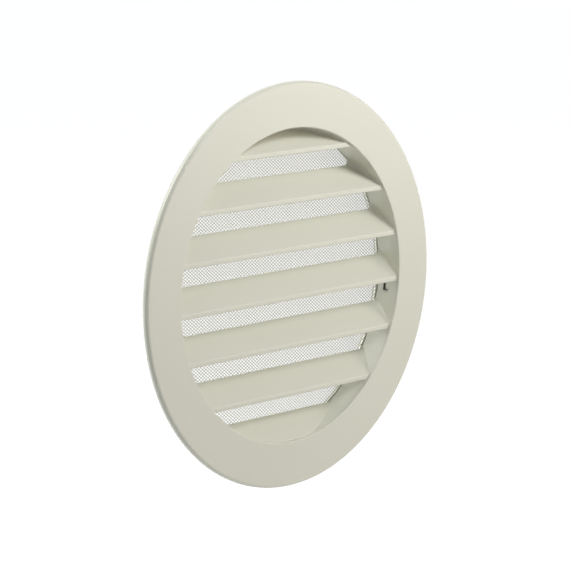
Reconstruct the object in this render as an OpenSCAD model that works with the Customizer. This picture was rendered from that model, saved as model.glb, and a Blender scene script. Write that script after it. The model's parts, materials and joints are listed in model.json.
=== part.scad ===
// Round wall grille for a 125 mm air duct: one die-cast louvre plate with a duct collar, an insect
// mesh behind the blades, the wire ring that holds it, and a spring clip in each side of the collar.
// Origin at the centre of the flange's back face. The front faces -Y, +Y runs into the wall, +Z is up.

/* [Flange] */
// Outside diameter of the flange
flange_d = 150; // [144:1:160]
// Thickness of the flange
flange_t = 3; // [2.9:0.1:4]
// Radius on the flange's outer edge, front and back
rim_round = 1.35; // [0.5:0.05:1.4]
// Radius on the front edge of the opening
lip_round = 0.4; // [0.3:0.1:1]

/* [Collar] */
// Outside diameter of the collar that enters the duct
collar_d = 122; // [118:0.5:126]
// Thickness of the collar's wall beside the blades
collar_wall = 2.9; // [2.6:0.1:3.4]
// Length of the collar behind the flange
collar_len = 10.6; // [10.4:0.1:14]
// Chamfer on the collar's outer end
collar_chamfer = 0.6; // [0.3:0.1:1]
// Taper of the wall beside the blades, in degrees
wall_draft = 1; // [0.5:0.1:1.5]

/* [Blades] */
// Distance from one blade to the next
blade_pitch = 17.9; // [16:0.1:20]
// Angle at which each blade rises to the back, in degrees
blade_slope = 43; // [38:0.5:45]
// Upright height of a blade's front face
blade_nose = 2.4; // [2:0.1:2.8]
// Depth of the blades from front to back
blade_depth = 9.3; // [8.7:0.1:9.6]
// Distance from the flange's front to the blades' fronts
blade_recess = 1; // [0.9:0.1:1.5]
// Drop from the top of the opening to the first blade's front edge
top_gap = 8.1; // [7.4:0.1:9]
// Radius on the long edges of a blade
blade_round = 0.5; // [0.3:0.1:0.6]
// Radius where a blade's front and its underside meet the collar's wall
root_tip = 0.5; // [0.3:0.1:0.8]
// Radius that this grows to between a blade's top and the wall, at the back
root_fillet = 1.9; // [1:0.1:2.2]

/* [Insect mesh] */
// Thickness of the mesh over its wires
mesh_t = 0.7; // [0.5:0.1:0.9]
// Thickness of the sheet that stands for the fine weave
mesh_sheet_t = 0.3; // [0.2:0.05:0.4]
// Distance between the ridges that stand for wires
wire_pitch = 3.2; // [2.8:0.1:4]
// Width of one ridge
wire_w = 0.6; // [0.4:0.1:0.8]
// Ridges from one gap in the mesh to the next
gap_every = 3; // [3:1:5]
// Ridges cut by one gap
gap_span = 2; // [1:1:2]
// Width of the pressed band round the mesh
hem_w = 0.9; // [0.6:0.1:1.2]
// Step in the bore that the mesh lies on
seat_w = 1.1; // [0.9:0.1:1.2]
// Clearance between the mesh's edge and the bore
mesh_clear = 0.2; // [0.1:0.05:0.4]

/* [Retaining ring] */
// Thickness of the ring's round wire
ring_wire_d = 1.2; // [1:0.1:1.6]
// Depth of the ring's groove in the bore
groove_depth = 0.3; // [0.2:0.05:0.4]
// Opening between the ring's ends, in degrees
ring_split = 12; // [6:1:30]

/* [Spring clips] */
// Angle of each clip below the level line through the centre, in degrees
clip_angle = 7.7; // [7:0.1:8.4]
// Width of the spring strip
clip_w = 3.7; // [3:0.1:4.5]
// Thickness of the spring strip
clip_t = 0.5; // [0.4:0.05:0.7]
// Distance from the flange's back to the middle of the clip's slot
clip_y = 4; // [3.6:0.1:4.4]
// Length of the bow from the slot to its free end
clip_len = 6; // [5.4:0.1:6.2]
// Height of the bow's crest over the collar
clip_proud = 0.2; // [0:0.05:0.25]
// Length of the lug that locks the clip inside the wall
lug_len = 1.3; // [0.9:0.1:1.6]
// Height of that lug
lug_h = 0.5; // [0.4:0.1:1.2]
// Depth of the outer pocket that the bow lies in
pocket_depth = 1.15; // [1:0.05:1.25]
// Depth of the flat round the slot inside the wall
flat_depth = 0.25; // [0.15:0.05:0.4]

/* [Fits] */
// Gap between pieces that lie against each other
seat_clear = 0.05; // [0.03:0.01:0.1]
// Gap round a clip in its slot and pocket
clip_clear = 0.12; // [0.1:0.02:0.2]

/* [Hidden] */
$fn = 96;

coat = [0.84, 0.83, 0.77];
mesh_grey = [0.80, 0.81, 0.81];
wire_steel = [0.66, 0.67, 0.68];
spring_steel = [0.25, 0.25, 0.24];

flange_r = flange_d / 2;
collar_r = collar_d / 2;
opening_r = collar_r - collar_wall;
front_y = -flange_t;
louvre_front = front_y + blade_recess;
louvre_back = louvre_front + blade_depth;

// The lowest blade's front edge stays at least this far above the bottom of the opening
bottom_room = 0.4;
blade_count = 1 + floor((2 * opening_r - top_gap - bottom_room) / blade_pitch);

// A core shorter than this in Z would have no room for its corner radii
least_core_h = 2 * root_tip + 0.3;
core_past = 0.3;
corner_steps = 4;
wall_steps = 6;
arc_steps = 8;

seat_r = opening_r - wall_in(louvre_back) + seat_w;
mesh_y = louvre_back + seat_clear;
mesh_r = seat_r - mesh_clear;
gap_pitch = gap_every * wire_pitch;
gap_side = gap_span * wire_pitch - wire_w;

ring_y = mesh_y + mesh_t + seat_clear + ring_wire_d / 2;
ring_r = seat_r + groove_depth - ring_wire_d / 2;

// In the clip's own frame X is the distance from the collar's axis, and Z runs along its wall
pocket_floor = collar_r - pocket_depth;
inner_flat = opening_r - wall_in(clip_y) + flat_depth;
bow_base = pocket_floor + seat_clear;
bow_rise = collar_r + clip_proud - clip_t - bow_base;
bow_outer = (pow(clip_len / 2, 2) + pow(bow_rise, 2)) / (2 * bow_rise) + clip_t;
bow_centre = [collar_r + clip_proud - bow_outer, clip_y + clip_len / 2];
// Room that the flat inside the wall leaves round the slot and the lug
flat_room = 0.75;

// Lays a solid that was made upright along the collar's axis, its top towards the wall
module along_wall_axis() {
    rotate([-90, 0, 0]) children();
}

// Points along an arc, both ends included
function arc(centre, r, from, to, steps) =
    [for (i = [0:steps]) let (a = from + (to - from) * i / steps) centre + r * [cos(a), sin(a)]];

// How far the tapered wall beside the blades stands inside the opening's edge
function wall_in(y) = (y + flange_t) * tan(wall_draft);

// Half section of the casting before the air passages are cut, as distance from the axis and depth
function casting_profile() = concat(
    [[0, louvre_front], [opening_r, louvre_front]],
    arc([opening_r + lip_round, front_y + lip_round], lip_round, 180, 270, arc_steps),
    arc([flange_r - rim_round, front_y + rim_round], rim_round, -90, 0, arc_steps),
    arc([flange_r - rim_round, -rim_round], rim_round, 0, 90, arc_steps),
    [
        [collar_r, 0],
        [collar_r, collar_len - collar_chamfer],
        [collar_r - collar_chamfer, collar_len],
        [seat_r, collar_len],
        [seat_r, louvre_back],
        [0, louvre_back]
    ]
);

// How far a rounded edge falls back from its sloping face, at a distance from the upright face.
// The lean is 1 at a blunt edge and -1 at a sharp one.
function edge_drop(distance, lean) =
    distance >= blade_round * (1 - lean * sin(blade_slope)) ? 0 :
    lean * (distance - blade_round) * tan(blade_slope) + blade_round / cos(blade_slope)
        - sqrt(pow(blade_round, 2) - pow(distance - blade_round, 2));

function blade_line(k, y) =
    opening_r - top_gap - k * blade_pitch + (y - louvre_front) * tan(blade_slope);
function within_blades(y) = min(max(y, louvre_front), louvre_back);

// Height of blade k's upper and lower faces at a depth
function blade_top(k, y) =
    let (d = within_blades(y))
    blade_line(k, d) - edge_drop(d - louvre_front, 1) - edge_drop(louvre_back - d, -1);
function blade_under(k, y) =
    let (d = within_blades(y))
    blade_line(k, d) - blade_nose + edge_drop(d - louvre_front, -1) + edge_drop(louvre_back - d, 1);

// Radius in the corner between blade k's top and the wall. The first blade has only a shallow
// recess over it, which stays narrow in the corners.
function floor_fillet(k, y) =
    k == 0 ? root_tip :
    root_tip + (root_fillet - root_tip) * (within_blades(y) - louvre_front) / blade_depth;

// Centre of a corner radius that touches the round wall at one height
function corner(z, r, wall_r) = [sqrt(pow(wall_r - r, 2) - pow(z, 2)), z];

// Right half of an air passage's outline, anticlockwise: a round wall between a floor and a roof,
// with rounded corners. Without a floor or a roof the wall closes it.
function half_outline(floor_z, roof_z, wall_r, floor_r) =
    let (
        low = is_undef(floor_z) ? undef : corner(floor_z + floor_r, floor_r, wall_r),
        high = is_undef(roof_z) ? undef : corner(roof_z - root_tip, root_tip, wall_r),
        from = is_undef(low) ? -90 : atan2(low.y, low.x),
        to = is_undef(high) ? 90 : atan2(high.y, high.x),
        wall = arc([0, 0], wall_r, from, to, wall_steps)
    )
    concat(
        is_undef(low) ? [] : arc(low, floor_r, -90, from, corner_steps),
        [for (i = [0:wall_steps])
            if ((i > 0 || is_undef(low)) && (i < wall_steps || is_undef(high))) wall[i]],
        is_undef(high) ? [] : arc(high, root_tip, to, 90, corner_steps)
    );

function whole_outline(half) = concat(
    half,
    [for (i = [len(half) - 1:-1:0]) if (half[i].x > 0.001) [-half[i].x, half[i].y]]
);

// Depths at which a passage's outline is worked out: close together where the edges are rounded
function core_depths(from, to) = concat(
    [from],
    [for (d = [
        louvre_front,
        louvre_front + 0.15 * blade_round,
        louvre_front + 0.5 * blade_round,
        louvre_front + blade_round * (1 + sin(blade_slope)),
        louvre_front + blade_depth / 3,
        louvre_front + blade_depth * 2 / 3,
        louvre_back - blade_round * (1 + sin(blade_slope)),
        louvre_back - 0.5 * blade_round,
        louvre_back
    ]) if (d > from + 0.1 && d < to - 0.1) d],
    [to]
);

// The core that leaves one air passage: under blade k - 1 and over blade k
module air_core(k) {
    has_roof = k > 0;
    has_floor = k < blade_count;
    over_all_r = opening_r - wall_in(louvre_front);
    top_room_ends = louvre_front
        + (over_all_r - least_core_h - blade_line(0, louvre_front)) / tan(blade_slope);
    bottom_room_starts = louvre_front
        + (least_core_h - over_all_r + blade_nose - blade_line(k - 1, louvre_front)) / tan(blade_slope);
    from = has_floor ? louvre_front - core_past : max(louvre_front - core_past, bottom_room_starts);
    to = has_roof ? louvre_back + core_past : min(louvre_back + core_past, top_room_ends);
    depths = core_depths(from, to);
    outlines = [for (y = depths) whole_outline(half_outline(
        has_floor ? blade_top(k, y) : undef,
        has_roof ? blade_under(k - 1, y) : undef,
        opening_r - wall_in(y),
        floor_fillet(k, y)))];
    n = len(outlines[0]);
    last = len(depths) - 1;
    points = [for (j = [0:last]) for (p = outlines[j]) [p.x, depths[j], p.y]];
    sides = [for (j = [0:last - 1]) for (i = [0:n - 1])
        let (next = (i + 1) % n)
        [j * n + i, j * n + next, (j + 1) * n + next, (j + 1) * n + i]];
    front = [[for (i = [n - 1:-1:0]) i]];
    back = [[for (i = [0:n - 1]) last * n + i]];
    polyhedron(points = points, faces = concat(front, sides, back), convexity = 4);
}

// Puts what is modelled in a clip's own frame at the right side of the collar
module at_clip() {
    rotate([0, clip_angle, 0]) children();
}

// What the collar's wall loses for one clip: the outer pocket, the slot, and the flat inside that
// runs out at the back of the louvre
module clip_cuts() {
    slot_t = clip_t + 2 * clip_clear;
    slot_w = clip_w + 2 * clip_clear;
    flat_w = clip_w + 2 * flat_room;
    flat_from = clip_y - clip_t / 2 - lug_len - flat_room;
    pocket_from = clip_y - slot_t / 2;
    translate([pocket_floor, pocket_from, -slot_w / 2])
        cube([2 * pocket_depth, collar_len, slot_w]);
    translate([opening_r - 2 * collar_wall, pocket_from, -slot_w / 2])
        cube([3 * collar_wall, slot_t, slot_w]);
    translate([opening_r - 2 * collar_wall, flat_from, -flat_w / 2])
        cube([inner_flat - opening_r + 2 * collar_wall, louvre_back + core_past - flat_from, flat_w]);
}

module grille_body() {
    color(coat)
    difference() {
        along_wall_axis() rotate_extrude() polygon(casting_profile());
        for (k = [0:blade_count]) air_core(k);
        along_wall_axis() rotate_extrude()
            translate([ring_r, ring_y]) circle(d = ring_wire_d + 2 * seat_clear, $fn = 32);
        at_clip() clip_cuts();
        mirror([1, 0, 0]) at_clip() clip_cuts();
    }
}

// Straight ridges side by side across the mesh, inside its pressed band
module ridges() {
    reach = mesh_r - hem_w / 2;
    half_count = floor(reach / wire_pitch - 0.5);
    intersection() {
        circle(r = reach);
        union() {
            for (i = [-half_count - 1:half_count])
                translate([(i + 0.5) * wire_pitch - wire_w / 2, -reach])
                    square([wire_w, 2 * reach]);
        }
    }
}

// Square gaps through the mesh, each between ridges and clear of the band
module mesh_gaps() {
    half_count = floor(mesh_r / gap_pitch);
    far_corner = gap_side / 2 * sqrt(2);
    for (i = [-half_count:half_count], j = [-half_count:half_count])
        if (norm([i, j]) * gap_pitch + far_corner < mesh_r - hem_w)
            translate([i * gap_pitch, j * gap_pitch]) square(gap_side, center = true);
}

module insect_mesh() {
    ridge_sink = 0.05;
    ridge_h = (mesh_t - mesh_sheet_t) / 2 + ridge_sink;
    color(mesh_grey)
    translate([0, mesh_y, 0]) along_wall_axis() rotate([0, 0, 45])
    difference() {
        union() {
            translate([0, 0, (mesh_t - mesh_sheet_t) / 2])
                cylinder(h = mesh_sheet_t, r = mesh_r - hem_w / 2);
            linear_extrude(ridge_h) ridges();
            translate([0, 0, mesh_t - ridge_h])
                linear_extrude(ridge_h) rotate([0, 0, 90]) ridges();
            difference() {
                cylinder(h = mesh_t, r = mesh_r);
                translate([0, 0, -mesh_t]) cylinder(h = 3 * mesh_t, r = mesh_r - hem_w);
            }
        }
        translate([0, 0, -mesh_t]) linear_extrude(3 * mesh_t) mesh_gaps();
    }
}

// Spring wire ring that snaps into the groove behind the mesh, open at the bottom
module retaining_ring() {
    color(wire_steel)
    translate([0, ring_y, 0]) along_wall_axis()
    rotate([0, 0, 90 + ring_split / 2])
    rotate_extrude(angle = 360 - ring_split)
    translate([ring_r, 0]) circle(d = ring_wire_d, $fn = 32);
}

// Side view of a clip: the tab through the wall, then the bow that runs back along the collar
module clip_side() {
    tab_in = inner_flat - seat_clear - clip_t;
    translate([tab_in, clip_y - clip_t / 2])
        square([bow_base + clip_t / 2 - tab_in, clip_t]);
    intersection() {
        difference() {
            translate(bow_centre) circle(r = bow_outer, $fn = 180);
            translate(bow_centre) circle(r = bow_outer - clip_t, $fn = 180);
        }
        translate([pocket_floor - clip_t, clip_y - clip_t / 2])
            square([2 * pocket_depth + clip_t, clip_len + clip_t / 2]);
    }
}

module spring_clip() {
    tab_in = inner_flat - seat_clear - clip_t;
    translate([0, 0, -clip_w / 2]) linear_extrude(clip_w) clip_side();
    translate([tab_in, clip_y - lug_len - clip_t / 2, -clip_w / 2])
        cube([clip_t, lug_len + clip_t / 2, lug_h]);
}

module spring_clip_right() {
    color(spring_steel) at_clip() spring_clip();
}

module spring_clip_left() {
    color(spring_steel) mirror([1, 0, 0]) at_clip() spring_clip();
}

grille_body();
insect_mesh();
retaining_ring();
spring_clip_right();
spring_clip_left();
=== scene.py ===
import json
import math

import bmesh
import bpy
import numpy as np
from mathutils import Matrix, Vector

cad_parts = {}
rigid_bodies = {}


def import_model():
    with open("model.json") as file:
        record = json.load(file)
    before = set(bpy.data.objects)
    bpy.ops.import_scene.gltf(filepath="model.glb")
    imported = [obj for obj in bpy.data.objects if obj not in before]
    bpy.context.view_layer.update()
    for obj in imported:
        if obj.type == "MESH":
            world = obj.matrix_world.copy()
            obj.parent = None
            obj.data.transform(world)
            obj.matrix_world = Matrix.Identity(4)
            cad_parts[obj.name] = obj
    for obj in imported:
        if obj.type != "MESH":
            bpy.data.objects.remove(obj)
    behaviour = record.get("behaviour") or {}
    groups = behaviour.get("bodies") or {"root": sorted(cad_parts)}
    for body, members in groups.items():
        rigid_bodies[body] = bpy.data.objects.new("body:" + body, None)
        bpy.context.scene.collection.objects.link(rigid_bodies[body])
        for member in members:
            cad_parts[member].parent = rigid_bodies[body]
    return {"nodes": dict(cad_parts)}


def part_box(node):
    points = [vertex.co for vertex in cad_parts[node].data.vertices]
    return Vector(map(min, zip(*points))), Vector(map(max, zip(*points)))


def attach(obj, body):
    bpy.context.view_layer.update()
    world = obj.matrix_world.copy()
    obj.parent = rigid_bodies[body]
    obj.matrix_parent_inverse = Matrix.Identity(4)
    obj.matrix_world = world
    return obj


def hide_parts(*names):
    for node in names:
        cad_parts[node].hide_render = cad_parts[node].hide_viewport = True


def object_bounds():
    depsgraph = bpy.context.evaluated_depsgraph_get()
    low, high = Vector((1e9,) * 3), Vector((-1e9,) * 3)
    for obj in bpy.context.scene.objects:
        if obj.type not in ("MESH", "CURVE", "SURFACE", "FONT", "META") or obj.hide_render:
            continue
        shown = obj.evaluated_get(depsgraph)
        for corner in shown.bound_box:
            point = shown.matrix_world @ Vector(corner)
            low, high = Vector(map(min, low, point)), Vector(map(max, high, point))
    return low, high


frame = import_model()
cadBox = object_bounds()
mm = 0.001
print("frame loaded:", sorted(frame["nodes"]))


# Colours and nodes

def srgb(hexCode):
    # Each sRGB channel to linear: a straight stretch near black, and a power of 2.4 above it
    channels = np.array([int(hexCode[i:i + 2], 16) for i in (1, 3, 5)]) / 255
    linear = np.where(channels <= 0.04045, channels / 12.92, ((channels + 0.055) / 1.055) ** 2.4)
    return (*linear, 1.0)


def addNode(tree, kind, inputs=None, **settings):
    # The settings are the node's own options, and each input is set or linked by name or number
    node = tree.nodes.new(kind)
    for name, value in settings.items():
        setattr(node, name, value)
    for key, value in (inputs or {}).items():
        if isinstance(value, bpy.types.NodeSocket):
            tree.links.new(value, node.inputs[key])
        else:
            node.inputs[key].default_value = value
    return node


def newMaterial(name):
    material = bpy.data.materials.new(name)
    material.use_nodes = True
    tree = material.node_tree
    tree.nodes.clear()
    return material, tree


# Camera at the photograph's viewing angle, fitted to the rim, the opening and the blades' edges

photoView = {
    "yaw": 46.675,        # degrees round from straight ahead, towards the object's left
    "elevation": 10.012,
    "roll": 0.190,
    "distance": 993.53,   # mm from the centre of the flange's front face, along the view
    "right": 3.656,       # mm by which that centre lies right of the view's middle
    "up": -0.386,
    "lens": 171.645,
    "sensor": 36.0,
}


def makeCamera(view):
    # It looks ahead from a place that lies back along the view from the flange's centre, and so far to the
    # side and down that the centre comes where the photograph has it
    yaw, elevation, roll = (math.radians(view[k]) for k in ("yaw", "elevation", "roll"))
    ahead = np.array([math.sin(yaw) * math.cos(elevation), math.cos(yaw) * math.cos(elevation),
                      -math.sin(elevation)])
    level = np.array([math.cos(yaw), -math.sin(yaw), 0.0])
    upright = np.cross(level, ahead)
    right = math.cos(roll) * level + math.sin(roll) * upright
    up = math.cos(roll) * upright - math.sin(roll) * level
    centre = np.array([0.0, cadBox[0].y, 0.0])
    place = centre - (right * view["right"] + up * view["up"] + ahead * view["distance"]) * mm
    data = bpy.data.cameras.new("photoCamera")
    data.sensor_fit = "HORIZONTAL"
    data.sensor_width = view["sensor"]
    data.lens = view["lens"]
    camera = bpy.data.objects.new("photoCamera", data)
    turned = np.eye(4)
    turned[:3, 0], turned[:3, 1], turned[:3, 2], turned[:3, 3] = right, up, -ahead, place
    camera.matrix_world = turned.T.tolist()
    bpy.context.scene.collection.objects.link(camera)
    bpy.context.scene.camera = camera


makeCamera(photoView)
print("camera placed")


# Studio: white all round, a floor well below the hung grille, and five soft discs of light

studio = {
    "worldLevel": (0.142, 0.150, 0.162),   # what the white room gives to every surface, a little cool
    "floorDrop": 230.0,     # mm from the flange's lowest point down to the floor
    "floorSize": 9000.0,
    "floorTone": (0.86, 0.86, 0.86),
    "floorGlow": 0.87,      # added for the camera, so that the lit floor is white
}

# Each lamp's place and size in mm, its power in watts and its tint. Each faces the grille: three from behind
# at the left light the blades' tops and the rim's side, one the flange's face, and a small one the noses.
lamps = {
    "leftTopBehind": {"place": (-450, 450, 600), "size": 500, "watts": 5.6, "tint": (0.98, 1.01, 0.97)},
    "leftBehind": {"place": (-700, 500, 100), "size": 500, "watts": 0.85, "tint": (0.96, 1.0, 1.05)},
    "lowBehind": {"place": (-200, 600, -150), "size": 400, "watts": 1.35, "tint": (0.90, 1.0, 1.17)},
    "frontRight": {"place": (650, -600, 150), "size": 500, "watts": 2.75, "tint": (1.06, 1.01, 0.89)},
    "nearTop": {"place": (60, -330, 330), "size": 200, "watts": 1.12, "tint": (0.98, 1.0, 1.05)},
}


def seenDirectly(tree):
    # 1 for a ray from the eye, from a gloss or through glass, otherwise 0
    path = addNode(tree, "ShaderNodeLightPath").outputs
    either = addNode(tree, "ShaderNodeMath", {0: path["Is Camera Ray"], 1: path["Is Glossy Ray"]},
                     operation="MAXIMUM").outputs[0]
    return addNode(tree, "ShaderNodeMath", {0: either, 1: path["Is Transmission Ray"]},
                   operation="MAXIMUM").outputs[0]


def makeWorld():
    world = bpy.data.worlds.new("whiteRoom")
    world.use_nodes = True
    tree = world.node_tree
    tree.nodes.clear()
    colour = addNode(tree, "ShaderNodeMix", {
        "Factor": seenDirectly(tree), "A": (*studio["worldLevel"], 1), "B": (1, 1, 1, 1)},
        data_type="RGBA", clamp_factor=True)
    background = addNode(tree, "ShaderNodeBackground", {"Color": colour.outputs["Result"], "Strength": 1.0})
    addNode(tree, "ShaderNodeOutputWorld", {"Surface": background.outputs[0]})
    bpy.context.scene.world = world


def makeFloor():
    half = studio["floorSize"] / 2 * mm
    height = cadBox[0].z - studio["floorDrop"] * mm
    mesh = bpy.data.meshes.new("studioFloor")
    mesh.from_pydata([(-half, -half, height), (half, -half, height), (half, half, height),
                      (-half, half, height)], [], [(0, 1, 2, 3)])
    floor = bpy.data.objects.new("studioFloor", mesh)
    bpy.context.scene.collection.objects.link(floor)
    material, tree = newMaterial("paleFloor")
    paint = addNode(tree, "ShaderNodeBsdfDiffuse", {"Color": (*studio["floorTone"], 1)})
    glow = addNode(tree, "ShaderNodeEmission", {"Color": (1, 1, 1, 1), "Strength": studio["floorGlow"]})
    both = addNode(tree, "ShaderNodeAddShader", {0: paint.outputs[0], 1: glow.outputs[0]})
    either = addNode(tree, "ShaderNodeMixShader",
                     {0: seenDirectly(tree), 1: paint.outputs[0], 2: both.outputs[0]})
    addNode(tree, "ShaderNodeOutputMaterial", {"Surface": either.outputs[0]})
    mesh.materials.append(material)


def makeLamp(name, look):
    data = bpy.data.lights.new(name, "AREA")
    data.shape = "DISK"
    data.size = look["size"] * mm
    data.energy = look["watts"]
    data.color = look["tint"]
    lamp = bpy.data.objects.new(name, data)
    lamp.location = [v * mm for v in look["place"]]
    lamp.rotation_euler = (-lamp.location).to_track_quat("-Z", "Y").to_euler()
    bpy.context.scene.collection.objects.link(lamp)


makeWorld()
makeFloor()
for name, look in lamps.items():
    makeLamp(name, look)
bpy.context.scene.view_settings.view_transform = "Standard"
print("studio lit")


# Finishes. A patch is one spot of slightly other tone, and its size is in mm.

coatLook = {
    "tone": "#D7D5C6",
    "shade": "#D4D2C2",
    "roughness": 0.35,
    "ior": 1.5,
    "patch": 38.0,        # where the coat is slightly thinner
    "peel": 1.1,          # mm across one dimple of the orange peel
    "peelHeight": 0.004,  # mm
}


def powderCoatedDieCastAluminium(look):
    # Baked polyester powder: an even pearl beige with a satin sheen, its skin faintly dimpled
    material, tree = newMaterial("powderCoatedDieCastAluminium")
    where = addNode(tree, "ShaderNodeTexCoord").outputs["Object"]
    patches = addNode(tree, "ShaderNodeTexNoise", {
        "Vector": where, "Scale": 1 / (look["patch"] * mm), "Detail": 1.0})
    colour = addNode(tree, "ShaderNodeMix", {
        "Factor": patches.outputs[0], "A": srgb(look["tone"]), "B": srgb(look["shade"])},
        data_type="RGBA", clamp_factor=True)
    dimples = addNode(tree, "ShaderNodeTexNoise", {
        "Vector": where, "Scale": 1 / (look["peel"] * mm), "Detail": 1.0})
    bump = addNode(tree, "ShaderNodeBump", {
        "Strength": 1.0, "Distance": look["peelHeight"] * mm, "Height": dimples.outputs[0]})
    paint = addNode(tree, "ShaderNodeBsdfPrincipled", {
        "Base Color": colour.outputs["Result"], "Roughness": look["roughness"], "IOR": look["ior"],
        "Normal": bump.outputs[0]})
    addNode(tree, "ShaderNodeOutputMaterial", {"Surface": paint.outputs[0]})
    return material


def bareMetal(name, look):
    # Metal all through, whose tone wanders between two shades from patch to patch
    material, tree = newMaterial(name)
    where = addNode(tree, "ShaderNodeTexCoord").outputs["Object"]
    patches = addNode(tree, "ShaderNodeTexNoise", {
        "Vector": where, "Scale": 1 / (look["patch"] * mm), "Detail": look["detail"]})
    colour = addNode(tree, "ShaderNodeMix", {
        "Factor": patches.outputs[0], "A": srgb(look["tone"]), "B": srgb(look["shade"])},
        data_type="RGBA", clamp_factor=True)
    metal = addNode(tree, "ShaderNodeBsdfPrincipled", {
        "Base Color": colour.outputs["Result"], "Metallic": 1.0, "Roughness": look["roughness"]})
    addNode(tree, "ShaderNodeOutputMaterial", {"Surface": metal.outputs[0]})
    return material


# Drawn aluminium wire gone dull in the air: a faintly warm grey against the white behind its holes
wireLook = {"tone": "#A3A28B", "shade": "#93927D", "roughness": 0.42, "patch": 0.9, "detail": 1.0}

# Drawn stainless spring wire: a pale dull skin. The lines of the die are finer than these patches, which
# are as coarse as it takes to show.
ringLook = {"tone": "#E2E1DC", "shade": "#D0CFCA", "roughness": 0.60, "patch": 0.8, "detail": 2.0}

# Hardened and tempered spring steel strip: dark oxide with a dull, slightly uneven sheen
clipLook = {"tone": "#5A5B55", "shade": "#3F403C", "roughness": 0.38, "patch": 1.6, "detail": 2.0}


def coat(node, material):
    for holder in node.material_slots:
        holder.material = material
    if not node.material_slots:
        node.data.materials.append(material)


nodes = frame["nodes"]
powderCoat = powderCoatedDieCastAluminium(coatLook)
meshWire = bareMetal("wovenAluminiumWire", wireLook)
springSteel = bareMetal("temperedSpringSteel", clipLook)
coat(nodes["retaining_ring"], bareMetal("drawnStainlessWire", ringLook))
coat(nodes["spring_clip_right"], springSteel)
coat(nodes["spring_clip_left"], springSteel)
print("finishes on the ring and clips")


# Cast body: the frame's own triangles, merged and shaded smooth over the small facets of the fillets, with
# the drafted wall's corners turned to the cone's direction, where the slivers would shade it in streaks

castShading = {
    "weld": 0.0001,     # mm within which two corners of the loose triangles are one
    "mouth": 58.1,      # mm, the wall's radius at the flange's front face
    "draft": 1.0,       # degrees by which it narrows to the back
    "near": 0.04,       # mm from the cone within which a corner lies on it
    "lean": 25.0,       # degrees from the cone's direction up to which a facet's corner is turned
    "crease": 34.0,     # degrees between two facets from which their edge stays sharp
    "crispFront": 2.6,  # mm behind the flange's face, up to where the noses and the rim keep their own edges
}


def cornerArrays(mesh):
    # For the three corners of each triangle: their places, their shading directions and the facet's own
    count = len(mesh.loops)
    owner = np.empty(count, dtype=int)
    places = np.empty(len(mesh.vertices) * 3)
    bends = np.empty(count * 3)
    flats = np.empty(len(mesh.polygons) * 3)
    mesh.loops.foreach_get("vertex_index", owner)
    mesh.vertices.foreach_get("co", places)
    mesh.corner_normals.foreach_get("vector", bends)
    mesh.polygons.foreach_get("normal", flats)
    return places.reshape(-1, 3)[owner], bends.reshape(-1, 3), np.repeat(flats.reshape(-1, 3), 3, axis=0)


def mergedCopy(mesh):
    shell = bmesh.new()
    shell.from_mesh(mesh)
    bmesh.ops.remove_doubles(shell, verts=shell.verts, dist=castShading["weld"] * mm)
    merged = bpy.data.meshes.new("castBody")
    shell.to_mesh(merged)
    shell.free()
    if "custom_normal" in merged.attributes:
        merged.attributes.remove(merged.attributes["custom_normal"])
    merged.shade_smooth()
    merged.set_sharp_from_angle(angle=math.radians(castShading["crease"]))
    return merged


def makeCastBody():
    crisp = cornerArrays(nodes["grille_body"].data)[1]
    mesh = mergedCopy(nodes["grille_body"].data)
    piece = bpy.data.objects.new("castBody", mesh)
    bpy.context.scene.collection.objects.link(piece)
    weigh = piece.modifiers.new("largeFacetsLead", "WEIGHTED_NORMAL")
    weigh.mode = "FACE_AREA"
    weigh.weight = 100    # the most: a corner takes the direction of its largest facets
    weigh.keep_sharp = True
    bpy.context.view_layer.objects.active = piece
    bpy.ops.object.modifier_apply(modifier=weigh.name)
    mesh = piece.data
    corners, bends, flats = cornerArrays(mesh)
    depth = corners[:, 1] - cadBox[0].y
    inFront = depth < castShading["crispFront"] * mm
    bends[inFront] = crisp[inFront]
    # The cone's inward direction at each corner, and the radius that the cone has at that depth
    draft = math.radians(castShading["draft"])
    radius = np.hypot(corners[:, 0], corners[:, 2])
    inward = np.stack([-corners[:, 0] / radius * math.cos(draft), np.full(len(radius), -math.sin(draft)),
                       -corners[:, 2] / radius * math.cos(draft)], axis=1)
    cone = castShading["mouth"] * mm - depth * math.tan(draft)
    isNear = np.abs(radius - cone) < castShading["near"] * mm
    facesIn = (flats * inward).sum(axis=1) > math.cos(math.radians(castShading["lean"]))
    onWall = isNear & facesIn
    bends[onWall] = inward[onWall]
    mesh.normals_split_custom_set(bends.tolist())
    coat(piece, powderCoat)
    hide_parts("grille_body")
    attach(piece, "root")
    print("cast body:", len(mesh.polygons), "triangles,", int(onWall.sum()), "corners turned")


makeCastBody()


# Insect mesh: wires over and under each other on the slant, cut round where the ring holds them

weave = {
    "wire": 0.18,               # mm across a wire
    "rising": (0.83, 0.52),     # mm to the right and up from crossing to crossing along a rising wire
    "falling": (0.89, -0.73),   # the same along a falling one: the diamonds lie 1.7 mm wide, 1.25 mm high
    "cutBack": 0.1,             # mm by which the cut ends stay inside the solid's edge
}


def surface(name, points, faces, material):
    mesh = bpy.data.meshes.new(name)
    mesh.from_pydata(points.tolist(), [], faces.tolist())
    mesh.materials.append(material)
    mesh.shade_smooth()
    piece = bpy.data.objects.new(name, mesh)
    bpy.context.scene.collection.objects.link(piece)
    return piece


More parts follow.
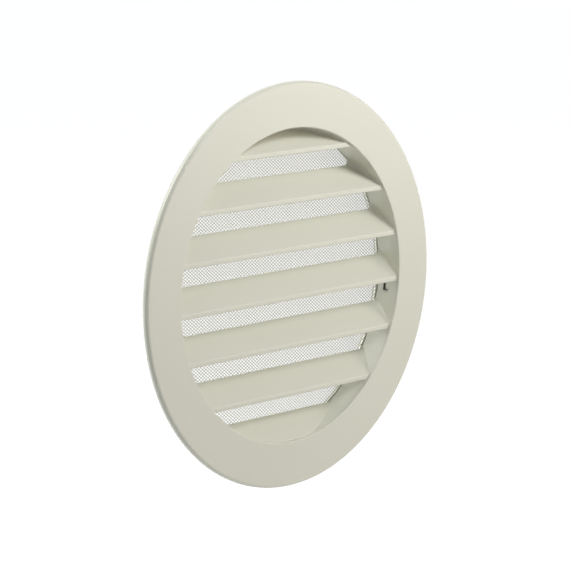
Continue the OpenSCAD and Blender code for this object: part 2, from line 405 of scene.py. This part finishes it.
def wireFamily(reach, step, nextWire, rise):
    # Wires side by side, each a four-sided tube through its crossings. At each crossing its middle stands
    # half a wire in front of the weave or behind it, by turns, and its corners lie as far from the middle
    # as gives the tube a round wire's section.
    step, nextWire = np.array(step), np.array(nextWire)
    stride = math.hypot(*step)
    along = step / stride
    across = np.array([-along[1], along[0]])
    count = int(reach / abs(nextWire @ across))
    points, faces, start = [], [], 0
    corners = np.array([(1, 1), (-1, 1), (-1, -1), (1, -1)]) * weave["wire"] * math.sqrt(math.pi) / 4
    for row in range(-count, count + 1):
        root = nextWire * row
        stretch = math.sqrt(reach ** 2 - (root @ across) ** 2)
        low, high = -root @ along - stretch, -root @ along + stretch
        steps = np.arange(math.floor(low / stride), math.ceil(high / stride) + 1)
        t = np.clip(steps * stride, low, high)
        height = np.where((steps + row) % 2 == 0, rise, -rise)
        middle = root[None, :] + along[None, :] * t[:, None]
        ring = np.empty((len(t), 4, 3))
        ring[:, :, 0] = middle[:, None, 0] + across[0] * corners[None, :, 0]
        ring[:, :, 2] = middle[:, None, 1] + across[1] * corners[None, :, 0]
        ring[:, :, 1] = height[:, None] + corners[None, :, 1]
        points.append(ring.reshape(-1, 3))
        j, k = np.meshgrid(np.arange(len(t) - 1), np.arange(4), indexing="ij")
        nextK = (k + 1) % 4
        quads = np.stack([j * 4 + k, j * 4 + nextK, (j + 1) * 4 + nextK, (j + 1) * 4 + k], axis=-1)
        last = (len(t) - 1) * 4
        caps = np.array([[3, 2, 1, 0], [last, last + 1, last + 2, last + 3]])
        faces.append(np.concatenate([quads.reshape(-1, 4), caps]) + start)
        start += len(t) * 4
    return np.concatenate(points), np.concatenate(faces)


def recalculateOutward(piece):
    bpy.context.view_layer.objects.active = piece
    bpy.ops.object.select_all(action="DESELECT")
    piece.select_set(True)
    bpy.ops.object.mode_set(mode="EDIT")
    bpy.ops.mesh.select_all(action="SELECT")
    bpy.ops.mesh.normals_make_consistent(inside=False)
    bpy.ops.object.mode_set(mode="OBJECT")


def makeWovenMesh():
    low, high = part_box("insect_mesh")
    edge = (high.x - low.x) / 2 / mm
    middle = (low.y + high.y) / 2 / mm
    reach = edge - weave["cutBack"]
    rise = weave["wire"] / 2
    first, firstFaces = wireFamily(reach, weave["rising"], weave["falling"], rise)
    second, secondFaces = wireFamily(reach, weave["falling"], weave["rising"], -rise)
    points = np.concatenate([first, second])
    points[:, 1] += middle
    faces = np.concatenate([firstFaces, secondFaces + len(first)])
    piece = surface("wovenMesh", points * mm, faces, meshWire)
    recalculateOutward(piece)
    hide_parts("insect_mesh")
    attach(piece, "root")
    print("woven mesh:", len(faces) * 2, "triangles")


makeWovenMesh()
